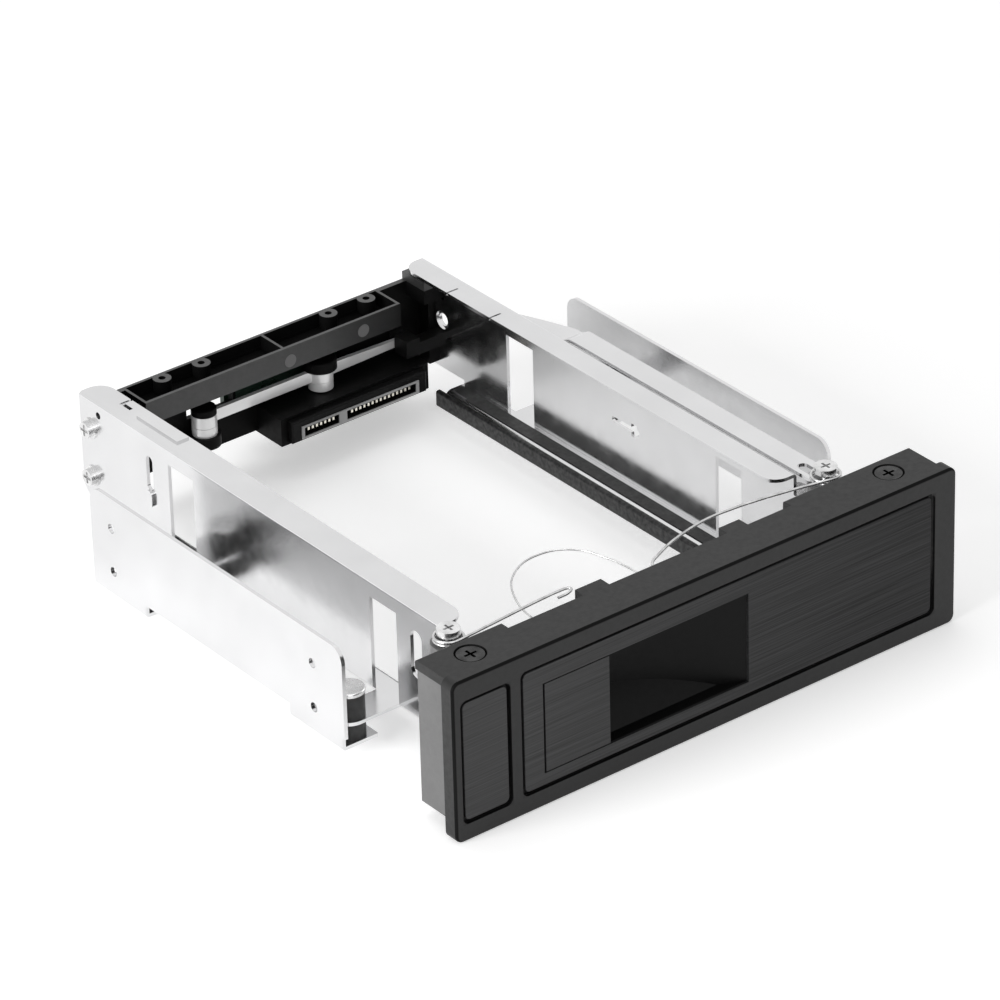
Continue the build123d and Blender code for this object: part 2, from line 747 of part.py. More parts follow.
with BuildPart() as lever_arm:
    for x in (pivot_x, bumper_x):
        post(x, pivot_depth, lever_bottom, lever_top, ring_radius)
    block(pivot_x, bumper_x, pivot_depth - half_bar, pivot_depth + half_bar,
          lever_bottom, lever_top)
    with BuildSketch(Plane.XY.offset(lever_bottom)):
        with BuildLine():
            Polyline(
                (bumper_x, back(pivot_depth - half_bar)),
                (tip_x + prong_width / 2, back(tip_depth - half_bar)),
                (tip_x + prong_width / 2, back(tip_depth + half_bar)),
                (bumper_x, back(pivot_depth + half_bar)),
                close=True,
            )
        make_face()
    extrude(amount=lever_height)
    with BuildSketch(across(tip_depth + ring_radius)):
        with BuildLine():
            Polyline(
                (bumper_x + ring_radius + 1.0, lever_top),
                (tip_x + prong_width, lever_top),
                (tip_x + prong_width, lever_bottom + lever_tip_height),
                close=True,
            )
        make_face()
    extrude(amount=3 * ring_radius, mode=Mode.SUBTRACT)
    post(pivot_x, pivot_depth, lever_bottom, lever_top, pivot_radius + fit_gap, Mode.SUBTRACT)
    post(bumper_x, pivot_depth, lever_bottom, lever_top, pivot_radius, Mode.SUBTRACT)
write(lever_arm, "lever_arm")

ring_bottom = shelf_top + running_gap
ring_top = ring_bottom + lower_ring_height
with BuildPart() as lever_pivot_pin:
    post(pivot_x, pivot_depth, shelf_top - 2.4, lever_top + running_gap, pivot_radius)
    post(pivot_x, pivot_depth, lever_top + running_gap, lever_top + running_gap + cap_height,
         ring_radius)
    fillet(lever_pivot_pin.edges().group_by(Axis.Z)[-1], 0.5)
write(lever_pivot_pin, "lever_pivot_pin")

with BuildPart() as pivot_spacer:
    post(pivot_x, pivot_depth, shelf_top, ring_top, ring_radius)
    post(pivot_x, pivot_depth, shelf_top, ring_top, pivot_radius + fit_gap, Mode.SUBTRACT)
write(pivot_spacer, "pivot_spacer")

with BuildPart() as lever_bumper:
    post(bumper_x, pivot_depth, ring_bottom + 0.4, lever_top, pivot_radius)
    post(bumper_x, pivot_depth, lever_top, lever_top + 1.6 * cap_height, bumper_radius)
    fillet(lever_bumper.edges().group_by(Axis.Z)[-1], 0.8)
write(lever_bumper, "lever_bumper")

with BuildPart() as bumper_ring:
    post(bumper_x, pivot_depth, ring_bottom, ring_top, ring_radius)
    post(bumper_x, pivot_depth, ring_bottom, ring_top, pivot_radius, Mode.SUBTRACT)
write(bumper_ring, "bumper_ring")


# Door: plate with hinge barrel, crank and finger pocket
door_left = opening_left + door_gap
door_right = opening_right - door_gap_right
door_low = opening_bottom + door_gap
door_high = opening_top - door_gap
plate_front = face_inset + face_sheet
plate_rear = plate_front + door_plate
crank_arm = eject_travel / 2
crank_x = hinge_x - crank_arm
crank_depth = hinge_depth + crank_arm
crank_top = crank_low + crank_web
latch_x = pocket_left + paddle_gap_left + latch_inset

with BuildPart() as pocket_space:
    with BuildSketch(Plane.XY.offset(pocket_bottom)) as pocket_plan:
        with BuildLine():
            ThreePointArc(
                (pocket_right, back(plate_front)),
                (pocket_middle[0], back(pocket_middle[1])),
                (pocket_turn, back(pocket_depth)),
            )
            Polyline(
                (pocket_turn, back(pocket_depth)),
                (pocket_left, back(pocket_depth)),
                (pocket_left, back(plate_front)),
                (pocket_right, back(plate_front)),
            )
        make_face()
    extrude(amount=pocket_top - pocket_bottom)
    with BuildSketch(Plane.YZ.offset(pocket_left)):
        with BuildLine():
            Polyline(
                (back(pocket_slope_start), pocket_bottom),
                (back(pocket_depth), pocket_bottom),
                (back(pocket_depth), pocket_bottom + pocket_rise),
                close=True,
            )
        make_face()
    extrude(amount=pocket_right - pocket_left, mode=Mode.SUBTRACT)

with BuildPart() as door_panel:
    with BuildSketch(Plane.XY.offset(pocket_bottom - pocket_skin)):
        add(pocket_plan.sketch)
        offset(amount=pocket_skin, kind=Kind.INTERSECTION)
        with Locations((0, back(plate_front) - pocket_skin)):
            Rectangle(bezel_width, 2 * pocket_skin, mode=Mode.SUBTRACT)
    extrude(amount=pocket_top - pocket_bottom + 2 * pocket_skin)
    block(door_left, hinge_x, plate_front, plate_rear, door_low, door_high)
    post(hinge_x, hinge_depth, door_low, door_high, hinge_barrel)
    block(crank_x - crank_margin - 0.6, crank_x + crank_margin, plate_rear,
          crank_depth, crank_low, crank_top)
    post(crank_x - 0.3, crank_depth, crank_low, crank_top, crank_margin + 0.3)
    add(pocket_space.part, mode=Mode.SUBTRACT)
    # Room for the eject strip's head, the hinge spring, the pins and the hook
    block(strip_left + 5.0, hinge_x - hinge_barrel - running_gap, plate_front, plate_rear,
          crank_top, door_high, Mode.SUBTRACT)
    block(hinge_x - 1.6, hinge_x + 1.6, plate_front, plate_rear + 0.4, spring_gap_low,
          spring_gap_high, Mode.SUBTRACT)
    post(hinge_x, hinge_depth, door_low, door_high, hinge_pin_radius + hinge_clearance,
         Mode.SUBTRACT)
    post(crank_x, crank_depth, crank_low, crank_top, crank_pin_radius, Mode.SUBTRACT)
    post(latch_x, latch_depth, pocket_bottom - latch_bite, pocket_top + latch_bite,
         latch_pin_radius + fit_gap, Mode.SUBTRACT)
    block(pocket_left - 2 * pocket_skin, pocket_left + pocket_skin, hook_front - 1.2,
          pocket_depth + 0.4, hook_low - 0.5, hook_high + 0.5, Mode.SUBTRACT)
write(door_panel, "door_panel")

with BuildPart() as door_face:
    with BuildSketch(across(face_inset)):
        with Locations(((door_left + door_right) / 2, (door_low + door_high) / 2)):
            RectangleRounded(door_right - door_left, door_high - door_low, 0.8)
        with Locations(((pocket_left + pocket_right) / 2, (pocket_bottom + pocket_top) / 2)):
            Rectangle(pocket_right - pocket_left, pocket_top - pocket_bottom,
                      mode=Mode.SUBTRACT)
    extrude(amount=-face_sheet)
    fillet(door_face.faces().sort_by(Axis.Y)[0].outer_wire().edges(), 0.3)
write(door_face, "door_face")

with BuildPart() as hinge_pin:
    post(hinge_x, hinge_depth, opening_bottom - hinge_bite + fit_gap,
         opening_top + hinge_bite - fit_gap, hinge_pin_radius)
write(hinge_pin, "hinge_pin")

with BuildPart() as hinge_spring:
    post(hinge_x, hinge_depth, spring_gap_low + 0.3, spring_gap_high - 0.3,
         hinge_pin_radius + 0.5)
    post(hinge_x, hinge_depth, spring_gap_low, spring_gap_high,
         hinge_pin_radius + fit_gap, Mode.SUBTRACT)
write(hinge_spring, "hinge_spring")

with BuildPart() as crank_pin:
    post(crank_x, crank_depth, crank_low, door_high - running_gap, crank_pin_radius)
write(crank_pin, "crank_pin")


# Latch paddle with its hook, face, pin, spring and strike
paddle_left = pocket_left + paddle_gap_left
paddle_edge = paddle_right - paddle_gap
paddle_low = pocket_bottom + paddle_gap
paddle_high = pocket_top - paddle_gap
hook_tip = opening_left + hook_clearance
spring_low = hook_high + 1.5
spring_high = spring_low + 4.0

with BuildPart() as latch_paddle:
    block(paddle_left, paddle_edge, plate_front, plate_front + paddle_sheet,
          paddle_low, paddle_high)
    post(latch_x, latch_depth, paddle_low, paddle_high, latch_barrel)
    block(paddle_edge - 1.2, paddle_edge, plate_front, plate_front + paddle_sheet + 1.0,
          paddle_low, paddle_high)
    block(latch_x - 0.6, latch_x + 1.2, latch_depth, hook_rear, hook_low, hook_high)
    block(hook_tip, latch_x + 1.2, hook_front, hook_rear, hook_low, hook_high)
    post(latch_x, latch_depth, paddle_low, paddle_high, latch_pin_radius + hinge_clearance,
         Mode.SUBTRACT)
    block(latch_x - 1.3, latch_x + 1.3, plate_front, plate_front + 3.0, spring_low,
          spring_high, Mode.SUBTRACT)
write(latch_paddle, "latch_paddle")

with BuildPart() as latch_face:
    block(paddle_left, paddle_edge, face_inset, plate_front, paddle_low, paddle_high)
write(latch_face, "latch_face")

with BuildPart() as latch_pin:
    post(latch_x, latch_depth, pocket_bottom - latch_bite + fit_gap,
         pocket_top + latch_bite - fit_gap, latch_pin_radius)
write(latch_pin, "latch_pin")

with BuildPart() as latch_spring:
    post(latch_x, latch_depth, spring_low + 0.3, spring_high - 0.3, latch_pin_radius + 0.4)
    post(latch_x, latch_depth, spring_low, spring_high, latch_pin_radius + fit_gap,
         Mode.SUBTRACT)
write(latch_spring, "latch_spring")

with BuildPart() as strike_plate:
    block(rib_left - 1.1, opening_left - fit_gap, hook_front - strike_sheet, hook_front,
          hook_low - 1.9, hook_high + 1.9)
write(strike_plate, "strike_plate")


# Eject bar: stepped strip seen from the side, cut to its outline in plan
pin_play = 0.3
head_reach = crank_pin_radius + pin_play
head_wall = 1.0
slot_left_x = hinge_x - sqrt(2) * crank_arm
head_right = crank_x + head_reach + head_wall
head_front = crank_depth - head_reach - head_wall
arm_left = right_inner - 3.6

with BuildPart() as eject_bar:
    with BuildSketch(Plane.YZ.offset(arm_left - 1.0)):
        with BuildLine():
            FilletPolyline(
                (back(head_front), head_top),
                (back(front_step_start), head_top),
                (back(front_step_end), strip_top),
                (back(rear_step_start), strip_top),
                (back(rear_step_end), arm_top),
                (back(strip_rear), arm_top),
                radius=1.2,
            )
            offset(amount=strip_sheet, side=Side.RIGHT)
        make_face()
    extrude(amount=head_right - arm_left + 2.0)
    with BuildSketch(Plane.XY.offset(head_top - 2 * strip_sheet)):
        with BuildLine():
            Polyline(
                (right_inner - fit_gap, back(strip_rear)),
                (arm_left, back(strip_rear)),
                (arm_left, back(strip_rear - 12.0)),
                (strip_left, back(strip_rear - 18.0)),
                (strip_left, back(front_step_start - 2.0)),
                (strip_right + 1.0, back(head_front)),
                (head_right, back(head_front)),
                (head_right, back(front_step_start - 2.5)),
                (strip_right, back(front_step_end - 0.5)),
                (strip_right, back(strip_rear - 19.0)),
            )
            ThreePointArc(
                (strip_right, back(strip_rear - 19.0)),
                (strip_right - 3.6, back(strip_rear - 9.0)),
                (right_inner - fit_gap, back(strip_rear)),
            )
        make_face()
        with Locations(((slot_left_x + crank_x) / 2, back(crank_depth))):
            SlotCenterToCenter(crank_x - slot_left_x, 2 * head_reach, mode=Mode.SUBTRACT)
        with Locations((screw_xs[1], back(screw_depth + eject_travel / 2))):
            SlotCenterToCenter(eject_travel, 2 * shoulder_radius + slide_gap, rotation=90,
                               mode=Mode.SUBTRACT)
    extrude(amount=4 * strip_sheet, mode=Mode.INTERSECT)
write(eject_bar, "eject_bar")

# Slider plate with the forked post that holds the lever's blade
slider_top = arm_top + slider_sheet - strip_sheet
slider_right = right_inner - 0.6
narrow_right = right_inner - fit_gap - ear_width - 0.8
slot_half = half_bar + prong_gap

with BuildPart() as eject_slider:
    block(slider_left, slider_right, slider_front, ear_front - 1.5,
          slider_top - slider_sheet, slider_top)
    block(slider_left, narrow_right, slider_front, slider_rear, slider_top - slider_sheet,
          slider_top)
    block(arm_left - fit_gap, right_inner, slider_front - 1.0, strip_rear + fit_gap,
          slider_top - slider_sheet, slider_top, Mode.SUBTRACT)
    block(tip_x - prong_width / 2, tip_x + prong_width / 2, tip_depth - slot_half - prong,
          tip_depth + slot_half + prong, prong_low, slider_top)
    block(tip_x - prong_width, tip_x + prong_width, tip_depth - slot_half,
          tip_depth + slot_half, prong_low, lever_top + 1.5, Mode.SUBTRACT)
write(eject_slider, "eject_slider")


# Shoulder screws with pan heads
with BuildPart() as spring_screws:
    for x, lug_top in zip(screw_xs, (left_lug_top, right_lug_top)):
        cap_bottom = wire_height + coil_wire + fit_gap
        post(x, screw_depth, lug_top - lug_thickness + 0.2, cap_bottom, shoulder_radius)
        post(x, screw_depth, cap_bottom, cap_bottom + screw_cap_height, screw_cap_radius)
        block(x - 1.4, x + 1.4, screw_depth - 0.3, screw_depth + 0.3, cap_bottom + 0.6,
              cap_bottom + screw_cap_height, Mode.SUBTRACT)
        block(x - 0.3, x + 0.3, screw_depth - 1.4, screw_depth + 1.4, cap_bottom + 0.6,
              cap_bottom + screw_cap_height, Mode.SUBTRACT)
write(spring_screws, "spring_screws")


def top_spring(x, side, leg):
    """Coil round a shoulder screw with a long wire leg; side is the way the leg leaves."""
    start = wire_height - coil_turns * coil_pitch
    turn_end = radians(90 - side * 360 * (coil_turns - 1.75))
    end = (x + coil_radius * cos(turn_end), back(screw_depth) + coil_radius * sin(turn_end),
           wire_height)
    with BuildPart() as spring:
        with BuildLine() as coil:
            Helix(coil_pitch, coil_turns * coil_pitch, coil_radius,
                  center=(x, back(screw_depth), start), lefthand=side > 0)
        with BuildSketch(Plane(coil.line @ 0, z_dir=coil.line % 0)):
            Circle(coil_wire)
        sweep(path=coil.line, is_frenet=True)
        with BuildLine() as leg_line:
            FilletPolyline(end, *[(px, back(pd), pz) for px, pd, pz in leg], radius=1.2)
        with BuildSketch(Plane(leg_line.line @ 0, z_dir=leg_line.line % 0)):
            Circle(coil_wire)
        sweep(path=leg_line.line)
    return spring


left_top_spring = top_spring(screw_xs[0], 1, (
    (-26.1, 19.3, wire_height), (-26.6, 17.4, wire_height), (-31.0, 16.7, wire_height)))
right_top_spring = top_spring(screw_xs[1], -1, (
    (20.7, 21.6, wire_height), (9.5, 21.0, wire_height), (wire_end_x, 14.6, wire_height),
    (wire_end_x, middle_depth - wire_bite + 0.2, wire_height)))
write(left_top_spring, "left_top_spring")
write(right_top_spring, "right_top_spring")

# Thin loop of wire whose ends stand in the bezel body
with BuildPart() as hold_down_wire:
    with BuildLine() as loop_line:
        FilletPolyline(
            (loop_left_x, back(middle_depth - wire_bite + 0.2), loop_height),
            (loop_left_x, back(19.0), loop_height),
            (-34.8, back(30.5), loop_height),
            (-26.0, back(36.8), loop_height),
            (-14.0, back(37.4), loop_height),
            (-9.6, back(27.0), loop_height),
            (loop_right_x, back(16.0), loop_height),
            (loop_right_x, back(middle_depth - wire_bite + 0.2), loop_height),
            radius=4.0,
        )
    with BuildSketch(Plane(loop_line.line @ 0, z_dir=loop_line.line % 0)):
        Circle(loop_wire)
    sweep(path=loop_line.line)
write(hold_down_wire, "hold_down_wire")
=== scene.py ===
import bmesh
import bpy
from math import cos, pi, radians, sin
from mathutils import Matrix, Vector


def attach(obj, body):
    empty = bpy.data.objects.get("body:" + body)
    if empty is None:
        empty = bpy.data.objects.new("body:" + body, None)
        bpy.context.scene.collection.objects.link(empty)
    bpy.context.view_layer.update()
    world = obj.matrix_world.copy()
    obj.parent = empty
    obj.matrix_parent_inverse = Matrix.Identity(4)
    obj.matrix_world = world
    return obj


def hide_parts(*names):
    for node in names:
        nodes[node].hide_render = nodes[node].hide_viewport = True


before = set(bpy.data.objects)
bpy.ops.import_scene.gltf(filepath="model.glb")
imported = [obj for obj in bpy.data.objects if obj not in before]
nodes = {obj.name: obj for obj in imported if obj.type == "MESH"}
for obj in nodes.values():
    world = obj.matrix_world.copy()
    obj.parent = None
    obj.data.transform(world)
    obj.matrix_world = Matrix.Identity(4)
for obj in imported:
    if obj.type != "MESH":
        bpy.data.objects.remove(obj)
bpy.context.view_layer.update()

# Camera and light, in degrees and metres
AZIMUTH, ELEVATION, ROLL = -37.49, 30.19, -1.58
CAMERA_PLACE = (-0.7774, -1.02455, 0.7699)
SENSOR_WIDTH = 36
LENS = 225.7
FAR_CLIP = 20
LAMP_AIM = (0, 0, 0.02)
LAMPS = (("lamp_left", (-1.3, 0.0, 0.4), 0.8, 17),
         ("lamp_front", (-0.5, -1.2, 0.8), 0.7, 3),
         ("lamp_back", (0.1, 0.3, 1.5), 0.9, 4))
ROOM_SEEN = 1.0
ROOM_FILL = 0.4
FLOOR_REACH = 6
FLOOR_WHITE = 0.9
FLOOR_GLOW = 0.35

# Lengths in metres that the helpers use
MM = 0.001
BEZEL_FACE = -0.08875
TINY = 1e-6
EDGE_BLEND = 0.00003

# Part of a noise pattern's range that its values fill
PATTERN_LOW, PATTERN_HIGH = 0.3, 0.7

# All sizes below are in millimetres: pairs across x, then depth behind the bezel's face, then z
# Depth band of the bezel's front bevel, where the black moulding's reflection is cut to almost
# none as painted shade
BEVEL_PAINTED_SHADE_START, BEVEL_PAINTED_SHADE_END = 0.04, 0.72
OPENING = ((-55.3, 67.8), (4.6, 37.5))
PANEL = ((-72.3, -58.1), (4.4, 36.7))
POCKET_X, POCKET_Z = (-48.9, 11.1), (8.5, 32.2)
GROOVE = 0.85
HINGE_SIDE_GAP = 0.2
CORNER = 1.8
SHEET_EDGE = 0.15
DOOR_SHEET = (0.2, 1.0)
PANEL_SHEET = (0.3, 1.5)
OPENING_CORNER_DEPTH = (0.02, 0.9)
PANEL_CORNER_DEPTH = (0.02, 1.45)
THROUGH_FACE = (-1, 3)
OVERCUT = 0.01

GUSSET_X = (46.6, 47.5)
GUSSET_FRONT, GUSSET_FOOT, GUSSET_REAR = 134.7, 161.2, 162.6
GUSSET_LOW, GUSSET_TOP = 18.1, 36.7
GUSSET_NOTCH = ((46, 49), (158.8, 164), (30.5, 38))
GUSSET_HOLE_PLACE = (47.2, 159.9, 24.6)
GUSSET_HOLE_RADIUS, GUSSET_HOLE_LENGTH = 2.5, 4
SHOE = ((34.5, 46.7), (158.9, 162.6), (18.2, 21.5))
FORK = ((34.5, 38.5), (158.9, 166.8), (18.2, 22.9))
FORK_SLOT = ((34.0, 39.0), (164.0, 165.8), (17.0, 24.0))

RAIL_STRIP = ((42.4, 46.2), (34.0, 146.0), (9.1, 9.4))
RAIL_EDGE = ((39.9, 41.5), (27.0, 154.7), (4.6, 9.05))
RAIL_EDGE_ROUND = 0.6

SPRING_WIRE, LOOP_WIRE = 0.35, 0.25
SPRING_TOP, LOOP_TOP = 40.0, 38.1
SHOULDER_SCREW_DEPTH = 20.2
LEFT_SHOULDER_SCREW, RIGHT_SHOULDER_SCREW = -59.6, 51.6
COIL_RADIUS, COIL_PITCH = 3.45, 0.8
COIL_TURNS, COIL_STEPS = 1.75, 48
LEFT_LEG = ((-27.5, 18.9), (-26.3, 18.2), (-27.2, 17.2), (-31.0, 16.7))
RIGHT_LEG = ((20.7, 21.9), (9.5, 20.6), (-1.5, 16.8), (-5.6, 14.2), (-6.3, 10.9))
LOOP = ((-39.0, 10.9), (-39.1, 14.9), (-36.6, 25.4), (-29.5, 34.4), (-20.5, 37.0),
        (-13.0, 33.6), (-9.6, 25.5), (-8.4, 16.0), (-8.4, 10.9))

BEAM = (-44.5, 32.6)
# Height of the beam's rim; the housing's reflection is cut below it as painted shade and raised
# above it as a painted sheen
BEAM_RIM = 34.74
TRAY_WALL = 0.7
TRAY_FRONT, TRAY_FACE, TRAY_REAR = 158.3, 158.5, 165.6
TRAY_Z = (28.6, 34.8)
TROUGH_REAR = 167.6
TROUGH_Z = (31.0, 36)
RIB = (-3.35, -2.65)
BOSSES = (-34.1, -22.4, 16.2, 27.9)
BOSS_DEPTH = 166.2
BOSS_MIDDLE, BOSS_RADIUS, BOSS_HEIGHT = 32.5, 2.3, 4.6
BOSS_HOLE_MIDDLE, BOSS_HOLE_RADIUS, BOSS_HOLE_HEIGHT = 33.5, 0.9, 4
PIN_MARKS = ((-1.4, 31.0), (21.0, 31.4))
PIN_MARK_RADIUS, PIN_MARK_HEIGHT = 1.7, 0.1

RECEPTACLE = ((-4.05, 37.4), (155.0, 169.4), (9.8, 15.6))
RECEPTACLE_EDGE = 0.4
RECEPTACLE_RIM = ((-1.4, 34.8), (154.7, 155.4), (10.3, 13.9))
SLOTS = ((-0.57, 10.03), (12.43, 33.93))
SLOT_DEPTH = (150, 161.5)
SLOT_Z, RIM_SLOT_Z = (11.0, 13.3), (10.9, 13.4)
CONTACT_COUNTS = (7, 15)
CONTACT_PITCH, CONTACT_HALF_WIDTH = 1.27, 0.3
CONTACT_DEPTH, CONTACT_Z = (155.2, 161.5), (12.1, 12.9)

WALL_FACES = (("left", -56.5, -1), ("right", 48.5, 1))
PAN_SCREW_LEVELS = (("low", 16.5), ("high", 29.6))
PAN_SCREW_DEPTH = 165.0
WASHER_RADIUS, WASHER_HEIGHT = 2.7, 0.4
PAN_HEAD_RADIUS, PAN_HEAD_HEIGHT, PAN_HEAD_MIDDLE = 2.1, 1.5, 1.05
CROSS_FROM, CROSS_TO = 1.2, 2.5
CROSS_ARM, CROSS_HALF_WIDTH = 1.5, 0.35


def back(depth):
    """Y in metres of a plane this many millimetres behind the bezel's face."""
    return BEZEL_FACE + depth * MM


def photograph_camera():
    """Camera at the photograph's angle, worked out from the bezel and the side plates."""
    azimuth, elevation, roll = radians(AZIMUTH), radians(ELEVATION), radians(ROLL)
    away = Vector((sin(azimuth) * cos(elevation), -cos(azimuth) * cos(elevation), sin(elevation)))
    level = Vector((0, 0, 1)).cross(away).normalized()
    upright = away.cross(level)
    right = cos(roll) * level + sin(roll) * upright
    up = -sin(roll) * level + cos(roll) * upright
    data = bpy.data.cameras.new("camera")
    data.sensor_width = SENSOR_WIDTH
    data.lens = LENS
    data.clip_end = FAR_CLIP
    camera = bpy.data.objects.new("camera", data)
    place = Matrix((right, up, away)).transposed().to_4x4()
    place.translation = Vector(CAMERA_PLACE)
    camera.matrix_world = place
    bpy.context.scene.collection.objects.link(camera)
    bpy.context.scene.camera = camera


def soft_lamp(name, place, size, power):
    """Large square lamp turned towards the part."""
    data = bpy.data.lights.new(name, "AREA")
    data.size = size
    data.energy = power
    lamp = bpy.data.objects.new(name, data)
    lamp.location = place
    aim = Vector(LAMP_AIM) - Vector(place)
    lamp.rotation_euler = aim.to_track_quat("-Z", "Y").to_euler()
    bpy.context.scene.collection.objects.link(lamp)


def studio_light():
    """Soft lamps, and a white room that the camera and the bright metal see."""
    for lamp in LAMPS:
        soft_lamp(*lamp)
    world = bpy.data.worlds.new("room")
    bpy.context.scene.world = world
    world.use_nodes = True
    tree = world.node_tree
    tree.nodes.clear()
    seen = tree.nodes.new("ShaderNodeBackground")
    seen.inputs["Strength"].default_value = ROOM_SEEN
    seen.inputs["Color"].default_value = (1, 1, 1, 1)
    fill = tree.nodes.new("ShaderNodeBackground")
    fill.inputs["Strength"].default_value = ROOM_FILL
    fill.inputs["Color"].default_value = (1, 1, 1, 1)
    path = tree.nodes.new("ShaderNodeLightPath")
    either = tree.nodes.new("ShaderNodeMath")
    either.operation = "MAXIMUM"
    mix = tree.nodes.new("ShaderNodeMixShader")
    surface = tree.nodes.new("ShaderNodeOutputWorld")
    link = tree.links.new
    link(path.outputs["Is Camera Ray"], either.inputs[0])
    link(path.outputs["Is Glossy Ray"], either.inputs[1])
    link(either.outputs[0], mix.inputs["Fac"])
    link(fill.outputs[0], mix.inputs[1])
    link(seen.outputs[0], mix.inputs[2])
    link(mix.outputs[0], surface.inputs["Surface"])


class Finish:
    """Node material with one principled shader and short calls for its pattern nodes."""

    def __init__(self, name, colour, metallic, roughness):
        self.material = bpy.data.materials.new(name)
        self.material.use_nodes = True
        self.tree = self.material.node_tree
        self.shader = self.tree.nodes["Principled BSDF"]
        self.shader.inputs["Base Color"].default_value = (*colour, 1)
        self.shader.inputs["Metallic"].default_value = metallic
        self.shader.inputs["Roughness"].default_value = roughness
        self.place = self.node("ShaderNodeTexCoord").outputs["Object"]

    def node(self, kind):
        return self.tree.nodes.new(kind)

    def link(self, output, socket):
        self.tree.links.new(output, socket)

    def noise(self, scale, detail, stretch=(1, 1, 1)):
        """Noise pattern, scaled differently along each axis where it is stretched."""
        mapping = self.node("ShaderNodeMapping")
        mapping.inputs["Scale"].default_value = stretch
        self.link(self.place, mapping.inputs["Vector"])
        noise = self.node("ShaderNodeTexNoise")
        noise.inputs["Scale"].default_value = scale
        noise.inputs["Detail"].default_value = detail
        self.link(mapping.outputs["Vector"], noise.inputs["Vector"])
        return noise.outputs["Fac"]

    def tint(self, pattern, dark, light):
        """Colour that runs from dark to light with a pattern."""
        ramp = self.node("ShaderNodeValToRGB")
        low, high = ramp.color_ramp.elements
        low.position, high.position = PATTERN_LOW, PATTERN_HIGH
        low.color, high.color = (*dark, 1), (*light, 1)
        self.link(pattern, ramp.inputs["Fac"])
        self.link(ramp.outputs["Color"], self.shader.inputs["Base Color"])

    def rough(self, pattern, low, high):
        """Roughness that runs between two values with a pattern."""
        span = self.node("ShaderNodeMapRange")
        span.inputs["From Min"].default_value = PATTERN_LOW
        span.inputs["From Max"].default_value = PATTERN_HIGH
        span.inputs["To Min"].default_value = low
        span.inputs["To Max"].default_value = high
        self.link(pattern, span.inputs["Value"])
        self.link(span.outputs["Result"], self.shader.inputs["Roughness"])

    def bump(self, pattern, strength, depth):
        """Fine relief with a pattern, its depth in metres."""
        bump = self.node("ShaderNodeBump")
        bump.inputs["Strength"].default_value = strength
        bump.inputs["Distance"].default_value = depth
        self.link(pattern, bump.inputs["Height"])
        self.link(bump.outputs["Normal"], self.shader.inputs["Normal"])

    def shine(self, axis, first, partings, blend=EDGE_BLEND):
        """Share of the usual reflection, changed beyond each place along an axis, in metres, which
        paints sheen and shade by place.
        """
        split = self.node("ShaderNodeSeparateXYZ")
        self.link(self.place, split.inputs["Vector"])
        total, base, last = None, first, first
        for place, value in partings:
            span = self.node("ShaderNodeMapRange")
            span.inputs["From Min"].default_value = place - blend
            span.inputs["From Max"].default_value = place + blend
            span.inputs["To Min"].default_value = base
            span.inputs["To Max"].default_value = base + value - last
            self.link(split.outputs[axis], span.inputs["Value"])
            change = span.outputs["Result"]
            if total is None:
                total = change
            else:
                add = self.node("ShaderNodeMath")
                self.link(total, add.inputs[0])
                self.link(change, add.inputs[1])
                total = add.outputs[0]
            base, last = 0, value
        self.link(total, self.shader.inputs["Specular IOR Level"])


def zinc_sheet():
    """Zinc plated sheet with faint patches."""
    finish = Finish("zinc_sheet", (0.7, 0.7, 0.705), metallic=1.0, roughness=0.2)
    finish.tint(finish.noise(60, 3), dark=(0.68, 0.68, 0.685), light=(0.73, 0.73, 0.735))
    finish.rough(finish.noise(300, 4), low=0.15, high=0.22)
    finish.bump(finish.noise(1400, 2), strength=0.04, depth=0.0001)
    return finish.material


def lever_steel():
    """Pale steel of the lever, the pins and the strike plate, mostly matt white so that it keeps a
    painted reflection of the bright room in the tray's shadow.
    """
    finish = Finish("lever_steel", (0.88, 0.88, 0.88), metallic=0.35, roughness=0.3)
    finish.tint(finish.noise(90, 2), dark=(0.86, 0.86, 0.86), light=(0.93, 0.93, 0.93))
    finish.rough(finish.noise(300, 3), low=0.2, high=0.27)
    return finish.material


def moulded_black(name, level, shine, grain=1400, axis="", partings=(), blend=EDGE_BLEND):
    """Black moulding with a grain; shine is the share of the usual reflection.

    Each parting is a place along the axis, in metres, and the shine beyond it, which paints sheen
    and shade by place.
    """
    finish = Finish(name, (level, level, level * 1.04), metallic=0.0, roughness=0.42)
    finish.shader.inputs["Specular IOR Level"].default_value = shine
    if partings:
        finish.shine(axis, shine, partings, blend)
    finish.tint(finish.noise(30, 3), dark=(level * 0.8,) * 3, light=(level * 1.2,) * 3)
    finish.rough(finish.noise(700, 4), low=0.36, high=0.5)
    finish.bump(finish.noise(grain, 2), strength=0.15, depth=0.0001)
    return finish.material


def brushed_black_painted_shade():
    """Black anodised sheet with fine lines along the face, with less reflection towards the hinge
    as painted shade.
    """
    finish = Finish("brushed_black_painted_shade", (0.02, 0.02, 0.021), metallic=0.0, roughness=0.4)
    finish.shine("X", 0.36, ((0.0, 0.13),), blend=0.06)
    lines = finish.noise(2600, 5, stretch=(0.012, 1, 1))
    finish.tint(lines, dark=(0.007, 0.007, 0.007), light=(0.034, 0.034, 0.035))
    finish.rough(lines, low=0.34, high=0.48)
    finish.bump(lines, strength=0.35, depth=0.00008)
    return finish.material


def rubber_black():
    """Dull black rubber."""
    finish = Finish("rubber_black", (0.02, 0.02, 0.02), metallic=0.0, roughness=0.6)
    finish.tint(finish.noise(200, 4), dark=(0.012, 0.012, 0.012), light=(0.026, 0.026, 0.026))
    finish.rough(finish.noise(900, 3), low=0.5, high=0.7)
    return finish.material


